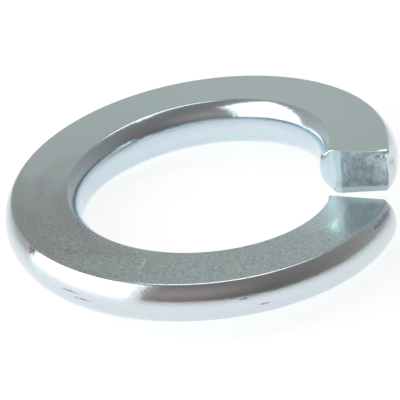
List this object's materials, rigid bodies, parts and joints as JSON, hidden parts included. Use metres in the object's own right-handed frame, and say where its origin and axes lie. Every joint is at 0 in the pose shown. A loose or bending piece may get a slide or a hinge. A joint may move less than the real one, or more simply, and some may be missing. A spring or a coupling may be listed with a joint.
{
  "type": "spring lock washer",
  "caption": "Split helical spring lock washer of zinc-plated spring steel, with flat faces, bulged inner and outer sides and sheared ends offset along the axis.",
  "frame": {"origin": "on the axis of the bore, at the lowest point of the lower end", "axes": "+Z along the bore, +X through the split; the lower end lies on the -Y side of the split and the coil climbs clockwise seen from above to the upper end on the +Y side"},
  "size_m": [0.0336, 0.0336, 0.0082],
  "materials": {
    "zinc_plated_steel": "bright zinc plating, satin gloss"
  },
  "bodies": {
    "root": {"spring_lock_washer": "zinc_plated_steel"}
  },
  "joints": []
}
